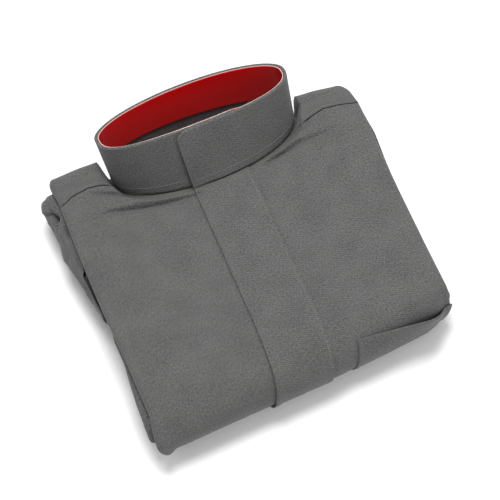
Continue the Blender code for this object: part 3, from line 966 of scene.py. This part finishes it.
@dataclass
class Sleeves:
    """The sleeves, folded behind and seen as a bulge at each side."""

    layout: Layout
    half: float = 15 * MM
    turn: float = math.radians(112)
    foot: float = -8 * MM
    least: float = 2 * MM
    flat_turn: float = math.radians(50)
    end_turn: float = math.radians(97)
    thin: Pair = (6 * MM, 13 * MM)
    end_span: Pair = (78 * MM, 100 * MM)
    end_shrink: float = 0.86
    end_sink: float = 1.5 * MM
    end_length: float = 13 * MM
    gap: float = 0.3 * MM

    # How much smaller the filling is than each sleeve, and where along each sleeve ends
    slack = {Side.RIGHT: 3.4 * MM, Side.LEFT: 2.2 * MM}
    head = {Side.RIGHT: 121 * MM, Side.LEFT: 112 * MM}

    # Places along a sleeve, and round its arc
    GRID = (180, 80)

    # How far they stand out past the side folds, in millimetres. Columns: y, right, left
    STANDS_OUT = np.array((
        (-20, 0.0, 0.0), (-2, 2.5, 1.0), (16, 6.0, 2.0), (43, 11.0, 3.5), (57, 13.0, 4.0),
        (71, 11.6, 2.6), (95, 14.5, 1.0), (106, 14.6, 0.0), (116, 12.0, -1.0), (121, 7.0, -1.0),
    )) * MM

    # Puckers of the right sleeve, in millimetres: place along and round the arc of the start
    # and end, depth, widths on either side
    PUCKERS = np.array((
        (103, 5, 90, 20, 3.5, 1.2, 4.0), (95, 12, 86, 11, 14.0, 5.6, 2.8),
        (82, 22, 66, 22, 4.0, 2.0, 2.6), (90, 2, 72, 0, 2.6, 2.0, 3.6),
        (70, 16, 48, 10, 2.4, 1.8, 3.4), (56, 20, 30, 20, 2.6, 2.0, 2.6),
        (50, 4, 22, 3, 2.2, 2.2, 4.0), (36, 14, 8, 10, 1.6, 2.0, 3.0),
    )) * MM

    def stands_out(self, side: Side, y: Array) -> Array:
        """How far a sleeve stands out past the side fold, at each place along."""
        column = 1 if side is Side.RIGHT else 2
        return np.interp(y, self.STANDS_OUT[:, 0], self.STANDS_OUT[:, column], left=0, right=0)

    def puckered(self, y: Array, arc: Array) -> Array:
        """How far the puckers draw the cloth in: a bell round each short line.

        Args:
            y: Places along.
            arc: Places round the arc, from the outermost line upwards.

        Returns:
            Depths.
        """
        total = np.zeros_like(y)
        for start, start_arc, end, end_arc, depth, *widths in self.PUCKERS:
            total += Crease((start, start_arc), (end, end_arc), depth, tuple(widths)).sink(y, arc)
        return total

    def sleeve(self, side: Side) -> Thing:
        """One sleeve: a sheet that rounds out in an arc between front and skirt.

        Args:
            side: Which sleeve.

        Returns:
            The object.
        """
        shape = self.layout
        head = self.head[side]
        along = np.linspace(self.foot, head, self.GRID[0])
        y, share = np.meshgrid(along, np.linspace(1.0, -1.0, self.GRID[1]), indexing="ij")
        full = self.stands_out(side, y)
        widest = mix(self.flat_turn, self.turn, smooth(*self.thin, full))
        turns = share * mix(widest, self.end_turn, smooth(*self.end_span, y))
        shrink = 1.0 - self.end_shrink * smooth(head - self.end_length, head, y)
        drawn = self.puckered(y, self.half * turns) if side is Side.RIGHT else 0.0
        tall = self.half * shrink - drawn
        z = shape.thick / 2 + tall * np.sin(turns) - self.end_sink * (1.0 - shrink)
        wide = shape.reach(np.full_like(y, side.value), y, z)
        round_out = np.maximum(full, self.least)
        x = wide + full - round_out + (round_out - drawn) * np.cos(turns) + self.gap
        points = shape.placed(np.stack((side.value * x, y, z), axis=-1))
        name = f"sleeve_{side.word}"
        return Piece(f"{name}_fold", points, flip=side is Side.RIGHT).build(
            name, rests_on=("folded_layers",))

    def build(self) -> None:
        """Build both sleeves."""
        for side in Side:
            self.sleeve(side)


# Collar


@dataclass
class Collar:
    """Stand collar, lapped at the front, and the smooth band inside it."""

    layout: Layout
    height: float = 47 * MM
    rim_centre: Triple = (0.5 * MM, 119.3 * MM, 76.2 * MM)
    rim: Pair = (80.8 * MM, 37.9 * MM)
    rim_tilt: float = math.radians(25.6)
    rim_square: float = 2.7
    wall: float = 2.4 * MM
    gap: float = 0.3 * MM
    lap_top_end: float = math.radians(-106)
    lap_under_end: float = math.radians(-70)
    tab_lift: float = 1.8 * MM
    tab_lift_span: float = 16 * MM
    lap_ease: Pair = (math.radians(40), math.radians(95))
    liner_ease: Pair = (math.radians(20), math.radians(75))
    liner_step_ease: Pair = (math.radians(19), math.radians(26))
    tab_corner: float = 9 * MM
    liner_wall: float = 0.7 * MM
    liner_foot: float = 12 * MM
    liner_rise: float = 8 * MM
    liner_gap: float = 0.45 * MM

    # Places round the strip, round its free end's corner, and up it
    BAND_GRID = (300, 18, 40)

    # Places round the liner and up it
    LINER_GRID = (360, 24)

    @property
    def step(self) -> float:
        """How far the covered end steps inwards."""
        return self.wall + self.gap

    @property
    def length(self) -> float:
        """Angle that the strip goes round, its lap included."""
        return 2 * math.pi + self.lap_under_end - self.lap_top_end

    def on_band(self, turns: Array, heights: Array, inset: Array) -> Array:
        """Points on the tilted band, straight from the neck's oval to the rim's oval.

        Each oval is deeper or squarer in its near half than in its far half.

        Args:
            turns: Angles round the neck.
            heights: Heights up the band.
            inset: Distances towards the neck.

        Returns:
            Points in the part's frame.
        """
        shape = self.layout
        wide, near, far = shape.base
        low = self.oval(turns, shape.neck, (wide, near, far), shape.tilt, 2.0, inset)
        high = self.oval(turns, self.rim_centre, (self.rim[0], self.rim[1], self.rim[1]),
                         self.rim_tilt, self.rim_square, inset)
        return shape.placed(mix(low, high, (heights / self.height)[..., None]))

    @staticmethod
    def oval(turns: Array, centre: Triple, size: Triple, tilt: float, square: float,
             inset: Array) -> Array:
        """Points on a tilted oval, whose near half may be squarer than an ellipse.

        There the shares of the width and of the depth, each raised to the squareness, add up to 1.

        Args:
            turns: Angles round it.
            centre: Its middle.
            size: Half width, near depth and far depth.
            tilt: How far its plane leans back.
            square: Squareness of the near half, 2 for an ellipse.
            inset: Distances towards the middle.

        Returns:
            Points in the layout.
        """
        across, along = np.cos(turns), np.sin(turns)
        near = -np.maximum(1.0 - np.abs(across) ** square, 0.0) ** (1.0 / square)
        along = np.where(along < 0.0, near, along)
        along = along * (np.where(along < 0.0, size[1], size[2]) - inset)
        across = across * (size[0] - inset)
        return np.stack(np.broadcast_arrays(centre[0] + across, centre[1] + along * math.cos(tilt),
                                            centre[2] - along * math.sin(tilt)), axis=-1)

    def lap_inset(self, travelled: Array) -> Array:
        """Inset of the strip after it has travelled so far round from its covered end.

        It eases out by one wall from the covered end, and the free end springs out a little.

        Args:
            travelled: Angle from the covered end.

        Returns:
            Distances towards the neck.
        """
        from_end = (self.length - travelled) * self.rim[0]
        spring = self.tab_lift * smooth(self.tab_lift_span, 0.0, from_end)
        return self.step * (1.0 - smooth(*self.lap_ease, travelled)) - spring

    def band(self) -> Thing:
        """The collar's strip, whose free end has a rounded upper corner."""
        around, at_corner, up = self.BAND_GRID
        corner, last = self.tab_corner, self.tab_corner / self.rim[0]
        closer = last * (1.0 - np.sin(np.linspace(0.0, math.pi / 2, at_corner)))[1:]
        travelled = np.concatenate((np.linspace(0.0, self.length - last, around),
                                    self.length - closer))
        from_end = np.clip((self.length - travelled) * self.rim[0], 0.0, corner)
        rounding = corner - np.sqrt(corner ** 2 - (corner - from_end) ** 2)
        heights = np.linspace(0.0, 1.0, up) * (self.height - rounding)[:, None]
        turns = (self.lap_under_end - travelled)[:, None]
        points = self.on_band(turns, heights, self.lap_inset(travelled)[:, None])
        return Piece("collar_band", points, wall=self.wall).build("collar", rests_on=("yoke",))

    def liner(self) -> Thing:
        """Smooth band inside the collar, its cut edge pale."""
        around, up = self.LINER_GRID
        turns = np.linspace(0.0, -2 * math.pi, around + 1)[:-1]
        from_front = np.angle(np.exp(1j * (turns + math.pi / 2)))
        ease = np.where(from_front < 0.0, 1.0 - smooth(*self.liner_ease, -from_front),
                        1.0 - smooth(*self.liner_step_ease, from_front))
        inset = self.wall + self.liner_gap + self.step * ease
        foot = self.liner_foot + self.liner_rise * (1.0 - np.cos(turns)) / 2.0
        heights = mix(foot, self.height - self.gap, np.linspace(0.0, 1.0, up)[:, None])
        points = self.on_band(turns, heights, inset)
        piece = Piece("collar_liner_band", points, FILM, self.liner_wall, flip=True, around=True,
                      rim=CUT_EDGE)
        return piece.build("collar_liner", "liner", held=None)

    def build(self) -> None:
        """Build the collar and its liner."""
        self.band()
        self.liner()


# Stitching


@dataclass
class Stitches:
    """Rows of topstitching, each stitch a short raised thread."""

    panels: Panels
    collar: Collar
    pitch: float = 2.6 * MM
    length: float = 2.0 * MM
    radius: float = 0.22 * MM
    sides: int = 6
    lift: float = 0.12 * MM
    samples: int = 3000
    lead: float = 0.2
    inset: float = 2.5 * MM
    tack: Triple = (5.5 * MM, 8 * MM, 8 * MM)
    yoke_rows: Pair = (80 * MM, 112 * MM)
    yoke_share: float = 0.16
    collar_row: Triple = (5.5 * MM, 0.5, 0.03)
    below_neck: float = 6 * MM
    below_mouth: float = 2 * MM

    # Rings of a thread. Columns: share of its length, rise in lifts, radius in radii
    RINGS = np.array(((0.0, -0.6, 0.5), (0.15, 0.7, 1.0), (0.5, 1.0, 1.0), (0.85, 0.7, 1.0),
                      (1.0, -0.6, 0.5)))

    def row(self, surface: Surface) -> Arrays:
        """Threads along a line on a surface: rings of points that dip at both ends.

        Args:
            surface: Gives points for shares 0 to 1 of the line, a distance outwards from it.

        Returns:
            Points of every stitch, and its quads.
        """
        shares = np.linspace(0.0, 1.0, self.samples)
        line, out = surface(shares, 0.0), surface(shares, MM) - surface(shares, 0.0)
        out = out / np.linalg.norm(out, axis=1, keepdims=True)
        gone = np.insert(np.cumsum(np.linalg.norm(np.diff(line, axis=0), axis=1)), 0, 0.0)
        count = int(gone[-1] / self.pitch)
        start = (np.arange(count)[:, None] + self.lead) * self.pitch
        place = start + self.RINGS[:, 0] * self.length
        at, up = (np.stack([np.interp(place, gone, part) for part in curve.T], axis=-1)
                  for curve in (line, out))
        run = at[:, -1:] - at[:, :1]
        across = np.cross(run / np.linalg.norm(run, axis=-1, keepdims=True), up)
        turn = np.linspace(0.0, 2 * math.pi, self.sides + 1)[:-1, None]
        ring = np.cos(turn) * across[:, :, None] + np.sin(turn) * up[:, :, None]
        centre = at + up * self.RINGS[:, 1:2] * self.lift
        points = centre[:, :, None] + ring * self.RINGS[:, 2, None, None] * self.radius
        return points.reshape(-1, 3), self.faces(count, len(self.RINGS))

    def faces(self, count: int, rings: int) -> Array:
        """Quads of the threads, with their ends closed by two quads each.

        Args:
            count: How many threads.
            rings: Rings of points in each.

        Returns:
            Vertex numbers, four to a face.
        """
        ring, corner = np.meshgrid(np.arange(rings - 1), np.arange(self.sides), indexing="ij")
        after = (corner + 1) % self.sides
        tube = np.stack((ring * self.sides + corner, (ring + 1) * self.sides + corner,
                         (ring + 1) * self.sides + after, ring * self.sides + after), axis=-1)
        end = (rings - 1) * self.sides
        caps = np.array(((0, 1, 2, 3), (0, 3, 4, 5), (3, 2, 1, 0), (5, 4, 3, 0)))
        caps[2:] += end
        one = np.concatenate((tube.reshape(-1, 4), caps))
        first = np.arange(count) * rings * self.sides
        return (one + first[:, None, None]).reshape(-1, 4)

    def on_body(self, x: float, start: float, end: float, layer: float,
                end_x: float | None = None) -> Surface:
        """A line along the body's loop at one place across, or slanting to another.

        Args:
            x: Place across where it starts.
            start: Run where it starts.
            end: Run where it ends.
            layer: Layer of the cloth that carries it.
            end_x: Place across where it ends, if it isn't x.

        Returns:
            The line as a surface for row.
        """
        shape = self.panels.layout

        def line(shares: Array, out: float) -> Array:
            """Points at the shares, moved outwards."""
            away = mix(x, x if end_x is None else end_x, shares)
            run = mix(start, end, shares)
            y, z = shape.body_loop(away, run, layer - out)
            across = shape.square_out(away, y, z) + shape.slant(away, run)
            return shape.placed(np.stack((across, y, z), axis=-1))
        return line

    def on_yoke(self, side: Side) -> Surface:
        """A line on the yoke along its seam.

        Args:
            side: Which shoulder.

        Returns:
            The line as a surface for row.
        """
        shape = self.panels.layout
        ends = sorted(side.value * place for place in self.yoke_rows)

        def line(shares: Array, out: float) -> Array:
            """Points at the shares, moved outwards."""
            away = mix(*ends, shares)
            y, z = shape.yoke_loop(away, np.full_like(away, self.yoke_share), -out)
            return shape.placed(np.stack((shape.square_out(away, y, z), y, z), axis=-1))
        return line

    def on_collar(self, shares: Array, out: float) -> Array:
        """Points of the row round the collar's foot, moved outwards.

        Args:
            shares: Shares of the row.
            out: Distance outwards.

        Returns:
            The points.
        """
        height, start, stop = self.collar_row
        gone = mix(start, self.collar.length - stop, shares)
        return self.collar.on_band(self.collar.lap_under_end - gone, np.full_like(gone, height),
                                   self.collar.lap_inset(gone) - out)

    def lines(self) -> list[Surface]:
        """Every row of topstitching."""
        panels, shape = self.panels, self.panels.layout
        end = shape.fold_r * panels.trim_turn
        neck = shape.fold_y - shape.seam(np.array(0.0)) + self.below_neck
        mouth = shape.fold_r * math.radians(panels.MOUTH[0, 1]) + self.below_mouth
        sewn, (back, low, high) = panels.placket_sewn, self.tack
        return [
            self.on_body(sewn - self.inset, neck, end, -panels.lay_step),
            self.on_body(sewn - back, low, high, -panels.lay_step, sewn),
            self.on_body(panels.pocket_x + self.inset, mouth, end, panels.pocket_layer),
            self.on_collar,
            self.on_yoke(Side.RIGHT),
            self.on_yoke(Side.LEFT),
        ]

    def build(self) -> Thing:
        """One piece with every stitch."""
        rows = [self.row(line) for line in self.lines()]
        counts = np.cumsum([0] + [len(points) for points, _ in rows[:-1]])
        points = np.concatenate([points for points, _ in rows])
        faces = np.concatenate([faces + first for (_, faces), first in zip(rows, counts)])
        thing = stand("topstitching", quads("topstitching", points, faces, THREAD))
        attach(thing, BODY)
        LOG.info("topstitching: %d faces", len(faces))
        return thing


# Studio


@dataclass
class Studio:
    """Pale floor, soft light and the camera."""

    layout: Layout
    heading: float = math.radians(10.73)
    elevation: float = math.radians(60.08)
    roll: float = math.radians(-12.35)
    distance: float = 1090.6 * MM
    target: Triple = (1.0 * MM, 4.3 * MM, 25 * MM)
    lens: float = 100.0
    floor_half: float = 4.0
    floor_z: float = -0.4 * MM
    sensor: float = 36.0
    sky: float = 0.55

    # Soft lights: name, place, power and size
    LIGHTS = (("softbox_top", (0.15, 0.35, 1.7), 28.0, 0.7),
              ("softbox_front", (0.6, -1.4, 1.0), 8.0, 1.0))

    def floor(self) -> None:
        """A wide pale sheet that the robe lies on."""
        half, z = self.floor_half, self.floor_z
        corners = np.array(((-half, -half, z), (half, -half, z), (half, half, z), (-half, half, z)))
        thing = stand("floor", quads("floor", corners, np.arange(4), FLOOR))
        thing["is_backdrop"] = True

    def light(self, name: str, place: Triple, power: float, size: float) -> None:
        """A square soft light that faces the robe.

        Args:
            name: Its name.
            place: Where it stands.
            power: Watts.
            size: Side of the square.
        """
        data = bpy.data.lights.new(name, "AREA")
        data.energy = power
        data.size = size
        thing = stand(name, data)
        thing.location = place
        thing.rotation_euler = Vector(place).to_track_quat("Z", "Y").to_euler()

    def lights(self) -> None:
        """One soft light overhead, a weaker one in front, and an even sky."""
        for light in self.LIGHTS:
            self.light(*light)
        world = bpy.context.scene.world or bpy.data.worlds.new("sky")
        bpy.context.scene.world = world
        world.use_nodes = True
        sky = world.node_tree.nodes["Background"]
        sky.inputs["Color"].default_value = (1.0, 1.0, 1.0, 1.0)
        sky.inputs["Strength"].default_value = self.sky
        bpy.context.scene.view_settings.view_transform = "Standard"

    def camera(self) -> None:
        """Camera that looks down at the robe, turned by its heading, elevation and roll."""
        head, rise, roll = self.heading, self.elevation, self.roll
        forward = Vector((math.sin(head) * math.cos(rise), math.cos(head) * math.cos(rise),
                          -math.sin(rise)))
        level = Vector((math.cos(head), -math.sin(head), 0.0))
        upright = level.cross(forward)
        right = math.cos(roll) * level + math.sin(roll) * upright
        top = math.cos(roll) * upright - math.sin(roll) * level
        place = Vector(self.target) - Vector(self.layout.origin) - forward * self.distance
        data = bpy.data.cameras.new("camera")
        data.lens = self.lens
        data.sensor_width = self.sensor
        thing = stand("camera", data)
        turned = Matrix((right, top, -forward)).transposed().to_4x4()
        thing.matrix_world = Matrix.Translation(place) @ turned
        bpy.context.scene.camera = thing

    def build(self) -> None:
        """Build the floor, lights and camera."""
        self.floor()
        self.lights()
        self.camera()


def corners(box: tuple[Vector, Vector]) -> list[list[float]]:
    """Lowest and highest corner of a box as plain numbers."""
    return [list(corner) for corner in box]


def main() -> None:
    """Build every piece in order."""
    logging.basicConfig(level=logging.INFO, format="%(name)s: %(message)s")
    layout = Layout()
    panels = Panels(layout)
    sleeves = Sleeves(layout)
    collar = Collar(layout)
    Studio(layout).build()
    panels.build()
    Stack(layout, sleeves).build()
    sleeves.build()
    collar.build()
    Stitches(panels, collar).build()
    {"cad": corners(CAD_BOX), "visual": corners(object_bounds())}


if __name__ == "__main__":
    main()
